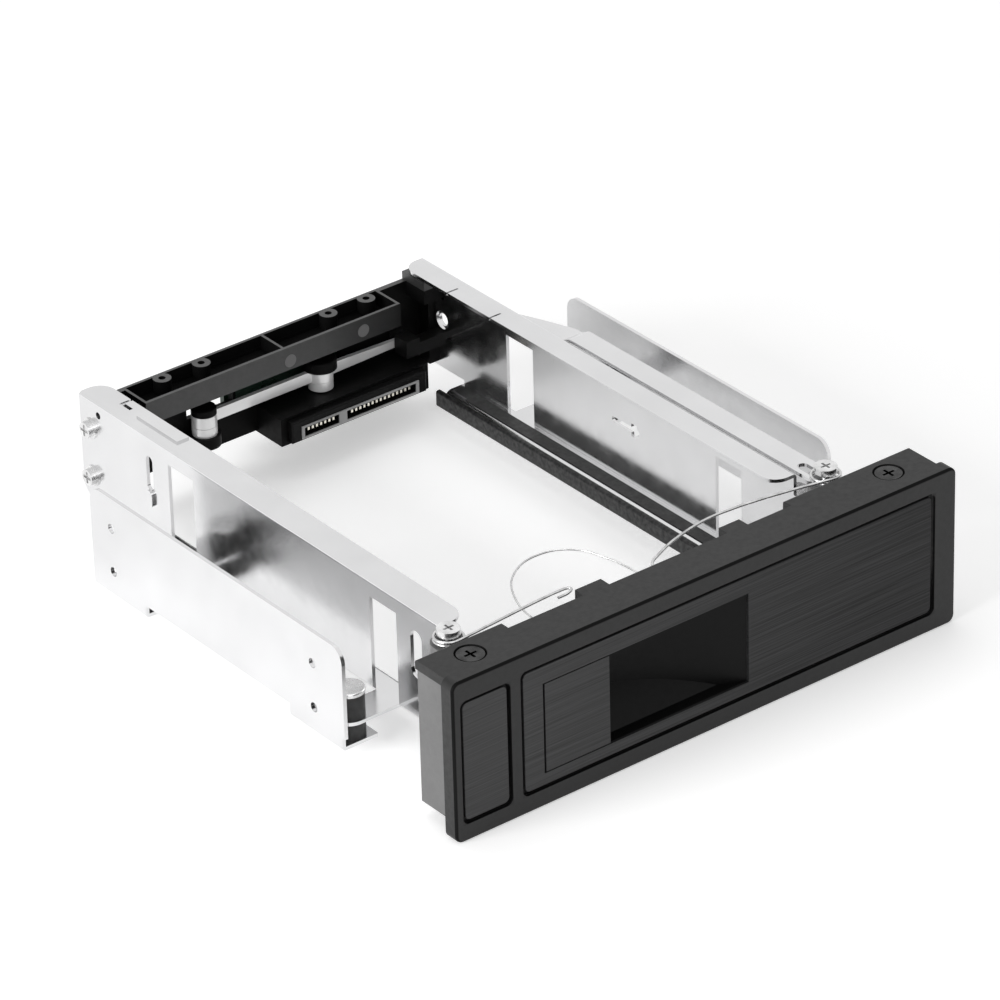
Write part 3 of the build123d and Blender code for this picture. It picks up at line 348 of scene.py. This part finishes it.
def rail_edge_painted_shade():
    """Zinc sheet edge painted near black as painted shade, with small bright specks."""
    finish = Finish("rail_edge_painted_shade", (0.02, 0.02, 0.02), metallic=0.6, roughness=0.35)
    finish.tint(finish.noise(900, 6), dark=(0.002, 0.002, 0.002), light=(0.05, 0.05, 0.05))
    finish.rough(finish.noise(300, 3), low=0.28, high=0.4)
    return finish.material


def plated_steel(name, dark, light):
    """Small turned or stamped part with a thin metal coating."""
    finish = Finish(name, (light,) * 3, metallic=1.0, roughness=0.28)
    finish.tint(finish.noise(400, 3), dark=(dark,) * 3, light=(light,) * 3)
    finish.rough(finish.noise(1200, 3), low=0.2, high=0.34)
    return finish.material


def gilded_contact():
    """Pale gold of the spring contacts."""
    finish = Finish("gilded_contact", (0.8, 0.77, 0.68), metallic=1.0, roughness=0.25)
    finish.rough(finish.noise(1200, 2), low=0.2, high=0.35)
    return finish.material


def board_green():
    """Dark green coat of the circuit board."""
    finish = Finish("board_green", (0.01, 0.07, 0.035), metallic=0.0, roughness=0.3)
    finish.tint(finish.noise(120, 4), dark=(0.002, 0.012, 0.006), light=(0.004, 0.024, 0.012))
    finish.rough(finish.noise(600, 3), low=0.25, high=0.4)
    return finish.material


ZINC = zinc_sheet()
# Lever steel made mostly matt white, a painted reflection
LEVER_PAINTED_REFLECTION = lever_steel()
# The bezel's black moulding reflects almost nothing on its front bevel, a painted shade
BEZEL_BLACK_PAINTED_SHADE = moulded_black("bezel_black_painted_shade", 0.008, 0.33, grain=1800, axis="Y",
                            partings=((back(BEVEL_PAINTED_SHADE_START), 0.02), (back(BEVEL_PAINTED_SHADE_END), 0.33)))
# Black plastic of the bezel's body, lightened to grey as a painted sheen of its lit left side
BODY_PAINTED_SHEEN = moulded_black("body_painted_sheen", 0.1, 0.6)
POCKET_BLACK = moulded_black("pocket_black", 0.003, 0.12)
# Black housing whose reflection is cut below the beam's rim, a painted shade in the trough and
# lower down, and raised above it, a painted sheen on the rims and boss tops
HOUSING_PAINTED_SHADE_AND_SHEEN = moulded_black("housing_painted_shade_and_sheen", 0.004, 0.06, axis="Z",
                              partings=((BEAM_RIM * MM, 1.0),))
# Thin sheet on the tray's front, grey from a painted sheen that fades to almost none right of x 21
# mm
TRAY_PAINTED_SHEEN = moulded_black("tray_painted_sheen", 0.01, 0.8, axis="X", partings=((0.021, 0.04),),
                          blend=0.012)
# Pale grey of the receptacle's rim, a painted highlight
RIM_PAINTED_HIGHLIGHT = moulded_black("rim_painted_highlight", 0.3, 0.5)
RECEPTACLE_BLACK = moulded_black("receptacle_black", 0.004, 0.12)
# Real ejector pin marks, lightened to grey as a painted sheen
PIN_MARK_PAINTED_SHEEN = moulded_black("pin_mark_painted_sheen", 0.09, 0.8)
# Folded zinc edge of the rail, painted near black as painted shade
RAIL_EDGE_PAINTED_SHADE = rail_edge_painted_shade()
# Brushed black sheet, darker towards the hinge as painted shade
BRUSHED_PAINTED_SHADE = brushed_black_painted_shade()
RUBBER = rubber_black()
SCREW_BLACK = plated_steel("screw_black", 0.02, 0.07)
SCREW_BRIGHT = plated_steel("screw_bright", 0.6, 0.8)
WIRE = plated_steel("spring_wire_bright", 0.45, 0.7)
CONTACT = gilded_contact()
BOARD = board_green()

FINISH_OF = {
    ZINC: ("left_side_wall", "right_side_wall", "left_mount_bracket", "right_mount_bracket",
           "eject_bar"),
    LEVER_PAINTED_REFLECTION: ("lever_arm", "bumper_ring", "pivot_spacer", "strike_plate",
            "hinge_pin", "crank_pin", "latch_pin"),
    BEZEL_BLACK_PAINTED_SHADE: ("bezel_cover",),
    BODY_PAINTED_SHEEN: ("bezel_body",),
    POCKET_BLACK: ("door_panel", "latch_paddle"),
    HOUSING_PAINTED_SHADE_AND_SHEEN: ("rear_housing", "lever_pivot_pin", "lever_bumper"),
    RECEPTACLE_BLACK: ("drive_receptacle", "data_socket", "power_socket", "eject_slider"),
    BRUSHED_PAINTED_SHADE: ("side_panel", "door_face", "latch_face"),
    RUBBER: ("grommets",),
    SCREW_BLACK: ("bezel_screws",),
    SCREW_BRIGHT: ("grommet_screws", "housing_screws", "board_screws", "spring_screws"),
    WIRE: ("left_top_spring", "right_top_spring", "hold_down_wire", "hinge_spring",
           "latch_spring"),
    CONTACT: ("receptacle_contacts",),
    BOARD: ("backplane_board",),
}


def finish_nodes():
    """Gives every CAD node its finish."""
    for material, names in FINISH_OF.items():
        for name in names:
            slots = nodes[name].data.materials
            slots.clear()
            slots.append(material)


def new_shape(name, shape):
    """Object that holds a bmesh at the origin."""
    mesh = bpy.data.meshes.new(name)
    shape.to_mesh(mesh)
    shape.free()
    return new_object(name, mesh)


def new_object(name, mesh):
    """Object at the origin with this mesh."""
    made = bpy.data.objects.new(name, mesh)
    bpy.context.scene.collection.objects.link(made)
    return made


def floor():
    """Plain white floor that keeps a faint shadow."""
    shape = bmesh.new()
    bmesh.ops.create_grid(shape, x_segments=1, y_segments=1, size=FLOOR_REACH)
    ground = new_shape("floor", shape)
    material = bpy.data.materials.new("floor_white")
    material.use_nodes = True
    shader = material.node_tree.nodes["Principled BSDF"]
    shader.inputs["Base Color"].default_value = (FLOOR_WHITE, FLOOR_WHITE, FLOOR_WHITE, 1)
    shader.inputs["Roughness"].default_value = 0.9
    shader.inputs["Emission Color"].default_value = (1, 1, 1, 1)
    shader.inputs["Emission Strength"].default_value = FLOOR_GLOW
    ground.data.materials.append(material)


def inset(pair, amount):
    """Pair of values moved towards each other."""
    return pair[0] + amount, pair[1] - amount


def around(middle, half):
    """Pair of values the same way on both sides of a middle."""
    return middle - half, middle + half


def block(name, x, depth, z, corner=0.0, edge=0.0):
    """Block between pairs of values; corner rounds its edges along the depth, edge its front."""
    shape = bmesh.new()
    low = Vector((x[0] * MM, back(depth[0]), z[0] * MM))
    high = Vector((x[1] * MM, back(depth[1]), z[1] * MM))
    place = Matrix.Translation((low + high) / 2) @ Matrix.Diagonal((*(high - low), 1))
    bmesh.ops.create_cube(shape, size=1, matrix=place)
    if corner:
        along = [e for e in shape.edges if abs(e.verts[0].co.y - e.verts[1].co.y) > TINY]
        bmesh.ops.bevel(shape, geom=along, offset=corner * MM, segments=6, profile=0.5,
                        affect="EDGES", material=-1)
    if edge:
        front = min(v.co.y for v in shape.verts)
        rim = [e for e in shape.edges if all(abs(v.co.y - front) < TINY for v in e.verts)]
        bmesh.ops.bevel(shape, geom=rim, offset=edge * MM, segments=2, profile=0.5,
                        affect="EDGES", material=-1)
    return new_shape(name, shape)


def rod(name, place, axis, radius, length):
    """Round bar centred at a place."""
    shape = bmesh.new()
    x, depth, z = place
    turn = {"X": Matrix.Rotation(pi / 2, 4, "Y"), "Y": Matrix.Rotation(pi / 2, 4, "X"),
            "Z": Matrix.Identity(4)}[axis]
    bmesh.ops.create_cone(shape, cap_ends=True, segments=40, radius1=radius * MM,
                          radius2=radius * MM, depth=length * MM,
                          matrix=Matrix.Translation((x * MM, back(depth), z * MM)) @ turn)
    return new_shape(name, shape)


def cut(piece, *cutters, operation="DIFFERENCE"):
    """Cuts other shapes out of a piece and leaves a plain mesh."""
    for cutter in cutters:
        change = piece.modifiers.new("change", "BOOLEAN")
        change.operation = operation
        change.object = cutter
        change.solver = "EXACT"
    depsgraph = bpy.context.evaluated_depsgraph_get()
    shaped = bpy.data.meshes.new_from_object(piece.evaluated_get(depsgraph))
    piece.modifiers.clear()
    piece.data = shaped
    for cutter in cutters:
        bpy.data.objects.remove(cutter)
    return piece


def join(piece, *others):
    """Joins other shapes to a piece and leaves a plain mesh."""
    return cut(piece, *others, operation="UNION")


def finished(piece, material, body, slot, *replaced):
    """Gives a piece its material, the body that it moves with and the nodes that it stands for."""
    piece.data.materials.clear()
    piece.data.materials.append(material)
    if replaced:
        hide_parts(*replaced)
    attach(piece, body)
    return piece


def bezel_faces():
    """Brushed sheets of the door and the fixed panel, in black grooves with rounded corners."""
    across, upright = OPENING
    sheet_corner = CORNER - GROOVE / 2
    door = block("door_sheet", (across[0] + GROOVE, across[1] - GROOVE - HINGE_SIDE_GAP),
                 DOOR_SHEET, inset(upright, GROOVE), sheet_corner, SHEET_EDGE)
    pocket = block("pocket_cut", POCKET_X, THROUGH_FACE, POCKET_Z)
    finished(cut(door, pocket), BRUSHED_PAINTED_SHADE, "door", "black_aluminium", "door_face")
    across, upright = PANEL
    panel = block("panel_sheet", inset(across, GROOVE), PANEL_SHEET, inset(upright, GROOVE),
                  sheet_corner, SHEET_EDGE)
    finished(panel, BRUSHED_PAINTED_SHADE, "cage", "black_aluminium", "side_panel")
    for name, (across, upright), depth in (
            ("opening_corners", OPENING, OPENING_CORNER_DEPTH),
            ("panel_corners", PANEL, PANEL_CORNER_DEPTH)):
        bits = block(name, across, depth, upright)
        room = block(name + "_room", inset(across, -OVERCUT), THROUGH_FACE,
                     inset(upright, -OVERCUT), CORNER)
        finished(cut(bits, room), BEZEL_BLACK_PAINTED_SHADE, "cage", "black_plastic")


def eject_gusset():
    """Gusset flat against the right wall, and the shoe whose fork holds the lever's blade."""
    gusset = block("eject_gusset", GUSSET_X, (GUSSET_FRONT, GUSSET_REAR),
                   (GUSSET_LOW, GUSSET_TOP))
    shape = bmesh.new()
    shape.from_mesh(gusset.data)
    start = Vector((0, back(GUSSET_FRONT), GUSSET_TOP * MM))
    end = Vector((0, back(GUSSET_FOOT), GUSSET_LOW * MM))
    normal = (end - start).cross(Vector((1, 0, 0)))
    slanted = bmesh.ops.bisect_plane(shape, geom=shape.verts[:] + shape.edges[:] + shape.faces[:],
                                     plane_co=start, plane_no=normal, clear_outer=normal.z < 0,
                                     clear_inner=normal.z > 0)
    rim = [e for e in slanted["geom_cut"] if isinstance(e, bmesh.types.BMEdge)]
    bmesh.ops.holes_fill(shape, edges=rim)
    shape.to_mesh(gusset.data)
    shape.free()
    notch = block("notch", *GUSSET_NOTCH)
    hole = rod("hole", GUSSET_HOLE_PLACE, "X", GUSSET_HOLE_RADIUS, GUSSET_HOLE_LENGTH)
    finished(cut(gusset, notch, hole), ZINC, "eject_bar", "zinc_steel")
    shoe = join(block("eject_shoe", *SHOE), block("fork", *FORK))
    finished(cut(shoe, block("slot", *FORK_SLOT)), RECEPTACLE_BLACK, "eject_bar",
             "black_plastic", "eject_slider")


def rail_strips():
    """Dark strip that lies in the right rail, and the rail's folded edge, painted near black as
    painted shade.
    """
    finished(block("rail_strip", *RAIL_STRIP), RUBBER, "cage", "rubber")
    finished(block("rail_edge", *RAIL_EDGE, RAIL_EDGE_ROUND), RAIL_EDGE_PAINTED_SHADE, "cage", "zinc_steel")


def wire(name, points, radius, replaced):
    """Round spring wire through a list of places."""
    curve = bpy.data.curves.new(name, "CURVE")
    curve.dimensions = "3D"
    curve.bevel_depth = radius * MM
    curve.bevel_resolution = 3
    curve.use_fill_caps = True
    spline = curve.splines.new("BEZIER")
    spline.resolution_u = 6
    spline.bezier_points.add(len(points) - 1)
    for knot, (x, depth, z) in zip(spline.bezier_points, points):
        knot.co = (x * MM, back(depth), z * MM)
        knot.handle_left_type = knot.handle_right_type = "AUTO"
    line = bpy.data.objects.new(name, curve)
    bpy.context.scene.collection.objects.link(line)
    mesh = bpy.data.meshes.new_from_object(line)
    bpy.data.objects.remove(line)
    for face in mesh.polygons:
        face.use_smooth = True
    finished(new_object(name, mesh), WIRE, "cage", "spring_wire", replaced)


def coil(x, side):
    """Places round a shoulder screw, ending where the wire's leg leaves the coil."""
    places = []
    for step in range(COIL_STEPS + 1):
        turns_left = COIL_TURNS * (1 - step / COIL_STEPS)
        angle = radians(90) + side * 2 * pi * turns_left
        places.append((x + COIL_RADIUS * cos(angle),
                       SHOULDER_SCREW_DEPTH - COIL_RADIUS * sin(angle),
                       SPRING_TOP - COIL_PITCH * turns_left))
    return places


def spring_wires():
    """Two coils with long legs behind the bezel, and the thin loop between them."""
    for name, screw, side, leg, node in (
            ("left_spring_wire", LEFT_SHOULDER_SCREW, 1, LEFT_LEG, "left_top_spring"),
            ("right_spring_wire", RIGHT_SHOULDER_SCREW, -1, RIGHT_LEG, "right_top_spring")):
        places = coil(screw, side) + [(x, depth, SPRING_TOP) for x, depth in leg]
        wire(name, places, SPRING_WIRE, node)
    wire("wire_loop", [(x, depth, LOOP_TOP) for x, depth in LOOP], LOOP_WIRE, "hold_down_wire")


def tray_housing():
    """Rear housing with the deep trough of its beam, whose front overhangs the lever."""
    housing = new_object("housing_moulding", nodes["rear_housing"].data.copy())
    join(housing, block("tray", BEAM, (TRAY_FACE, TRAY_REAR), TRAY_Z))
    rooms = [block("room", across, (TRAY_FACE + TRAY_WALL, TROUGH_REAR), TROUGH_Z)
             for across in ((BEAM[0] + TRAY_WALL, RIB[0]), (RIB[1], BEAM[1] - TRAY_WALL))]
    cut(housing, *rooms)
    join(housing, *[rod("boss", (x, BOSS_DEPTH, BOSS_MIDDLE), "Z", BOSS_RADIUS, BOSS_HEIGHT)
                    for x in BOSSES])
    cut(housing, *[rod("boss_hole", (x, BOSS_DEPTH, BOSS_HOLE_MIDDLE), "Z", BOSS_HOLE_RADIUS,
                       BOSS_HOLE_HEIGHT) for x in BOSSES])
    finished(housing, HOUSING_PAINTED_SHADE_AND_SHEEN, "cage", "black_plastic", "rear_housing")
    # Thin front sheet of the tray, grey from a painted sheen
    front = block("tray_front", BEAM, (TRAY_FRONT, TRAY_FACE), TRAY_Z)
    finished(front, TRAY_PAINTED_SHEEN, "cage", "black_plastic")
    # Ejector pin marks on the tray's front, lightened as a painted sheen
    for index, (x, z) in enumerate(PIN_MARKS):
        mark = rod("pin_mark_%d" % index, (x, TRAY_FRONT, z), "Y", PIN_MARK_RADIUS,
                   PIN_MARK_HEIGHT)
        finished(mark, PIN_MARK_PAINTED_SHEEN, "cage", "black_plastic")


def receptacle():
    """Receptacle with two low slots, a thin rim round them that is pale as a painted highlight,
    and a row of contacts in each.
    """
    shell = block("receptacle_shell", *RECEPTACLE, edge=RECEPTACLE_EDGE)
    slots = [block("slot", x, SLOT_DEPTH, SLOT_Z) for x in SLOTS]
    finished(cut(shell, *slots), RECEPTACLE_BLACK, "cage", "connector_plastic",
             "drive_receptacle")
    # Thin plate round the slots' mouths, pale as a painted highlight
    rim = block("receptacle_rim", *RECEPTACLE_RIM)
    slots = [block("slot", x, SLOT_DEPTH, RIM_SLOT_Z) for x in SLOTS]
    finished(cut(rim, *slots), RIM_PAINTED_HIGHLIGHT, "cage", "connector_plastic")
    contacts = []
    for (low, high), count in zip(SLOTS, CONTACT_COUNTS):
        for index in range(count):
            x = (low + high) / 2 + (index - (count - 1) / 2) * CONTACT_PITCH
            contacts.append(block("contact", around(x, CONTACT_HALF_WIDTH), CONTACT_DEPTH,
                                  CONTACT_Z))
    row = join(contacts[0], *contacts[1:])
    row.name = "contact_row"
    finished(row, CONTACT, "cage", "contacts", "receptacle_contacts")


def pan_screws():
    """Pan head screws in the two walls, with washers and crossed recesses."""
    replaced = ("housing_screws",)
    for side_name, face, side in WALL_FACES:
        for level_name, z in PAN_SCREW_LEVELS:
            name = "pan_screw_" + side_name + "_" + level_name
            screw = rod(name, (face + side * WASHER_HEIGHT / 2, PAN_SCREW_DEPTH, z), "X",
                        WASHER_RADIUS, WASHER_HEIGHT)
            head = rod("head", (face + side * PAN_HEAD_MIDDLE, PAN_SCREW_DEPTH, z), "X",
                       PAN_HEAD_RADIUS, PAN_HEAD_HEIGHT)
            across = sorted((face + side * CROSS_FROM, face + side * CROSS_TO))
            bar = block("bar", across, around(PAN_SCREW_DEPTH, CROSS_ARM),
                        around(z, CROSS_HALF_WIDTH))
            upright = block("upright", across, around(PAN_SCREW_DEPTH, CROSS_HALF_WIDTH),
                            around(z, CROSS_ARM))
            finished(cut(join(screw, head), bar, upright), SCREW_BRIGHT, "cage",
                     "plain_screws", *replaced)
            replaced = ()


photograph_camera()
studio_light()
finish_nodes()
floor()
bezel_faces()
eject_gusset()
rail_strips()
spring_wires()
tray_housing()
receptacle()
pan_screws()

view = bpy.context.scene.view_settings
view.view_transform = "Standard"
